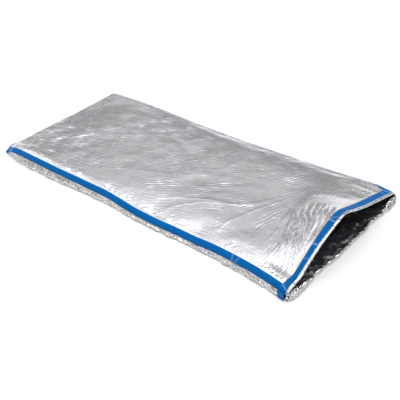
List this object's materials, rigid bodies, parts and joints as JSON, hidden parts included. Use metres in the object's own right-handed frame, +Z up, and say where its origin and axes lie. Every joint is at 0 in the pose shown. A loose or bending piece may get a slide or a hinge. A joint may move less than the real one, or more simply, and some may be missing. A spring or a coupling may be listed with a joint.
{
  "type": "infrared sauna blanket",
  "caption": "Flat two-walled heated pouch of silver film with blue taped seams, a raised tent-shaped mouth, a foot section that folds over and a power inlet at the foot end.",
  "frame": {"origin": "centre of the bounding box in X and Y, on the underside of the lower film", "axes": "+X along the length towards the mouth, +Y across towards the far long edge, +Z up"},
  "size_m": [1.8734, 0.8024, 0.1729],
  "materials": {
    "silver_film": "bright metallised film with fine crinkles and soft billows",
    "blue_tape": "glossy adhesive tape with cross creases",
    "dark_liner": "near-black glossy film with sharp crinkles",
    "wadding": "matt needled polyester wadding",
    "heating_film": "matt carbon-printed film",
    "bus_copper": "satin copper foil",
    "inlet_plastic": "fine-grained moulded plastic",
    "contact_brass": "plain drawn brass",
    "lead_sleeve": "smooth silicone sleeve"
  },
  "bodies": {
    "body_section": {"far_corner_tail": "blue_tape", "far_gusset_lip": "silver_film", "far_side_film_body": "silver_film", "far_tape_body": "blue_tape", "lower_bus_far_body": "bus_copper", "lower_bus_near_body": "bus_copper", "lower_film_body": "silver_film", "lower_heater_body": "heating_film", "lower_liner_body": "dark_liner", "lower_lip": "silver_film", "lower_wadding_body": "wadding", "near_corner_tail": "blue_tape", "near_gusset_lip": "silver_film", "near_side_film_body": "silver_film", "near_tape_body": "blue_tape", "upper_bus_far_body": "bus_copper", "upper_bus_near_body": "bus_copper", "upper_film_body": "silver_film", "upper_heater_body": "heating_film", "upper_liner_body": "dark_liner", "upper_wadding_body": "wadding"},
    "foot_section": {"cutout_wire": "lead_sleeve", "far_feed_wire": "lead_sleeve", "far_side_film_foot": "silver_film", "far_tape_foot": "blue_tape", "far_terminal": "inlet_plastic", "foot_tape": "blue_tape", "foot_wall_film": "silver_film", "inlet_contact_1": "contact_brass", "inlet_contact_2": "contact_brass", "inlet_contact_3": "contact_brass", "inlet_housing": "inlet_plastic", "lower_bus_far_foot": "bus_copper", "lower_bus_near_foot": "bus_copper", "lower_film_foot": "silver_film", "lower_heater_foot": "heating_film", "lower_liner_foot": "dark_liner", "lower_wadding_foot": "wadding", "near_feed_wire": "lead_sleeve", "near_side_film_foot": "silver_film", "near_tape_foot": "blue_tape", "near_terminal": "inlet_plastic", "temperature_sensor": "inlet_plastic", "thermal_cutout": "contact_brass", "upper_bus_far_foot": "bus_copper", "upper_bus_near_foot": "bus_copper", "upper_film_foot": "silver_film", "upper_heater_foot": "heating_film", "upper_liner_foot": "dark_liner", "upper_wadding_foot": "wadding"},
    "lip_section": {"far_tape_lip": "blue_tape", "lip_hem": "silver_film", "lip_tape": "blue_tape", "near_tape_lip": "blue_tape", "upper_bus_far_lip": "bus_copper", "upper_bus_near_lip": "bus_copper", "upper_film_lip": "silver_film", "upper_heater_lip": "heating_film", "upper_liner_lip": "dark_liner", "upper_wadding_lip": "wadding"}
  },
  "joints": [
    {"name": "foot_fold", "type": "hinge", "parent": "body_section", "child": "foot_section", "pos_m": [-0.325, 0, 0.069], "axis": [0, 1, 0], "range_deg": [0, 175]},
    {"name": "lip_lift", "type": "hinge", "parent": "body_section", "child": "lip_section", "pos_m": [0.365, 0, 0.069], "axis": [0, -1, 0], "range_deg": [0, 12], "deforming": ["near_gusset_lip", "far_gusset_lip", "near_corner_tail", "far_corner_tail"]}
  ]
}
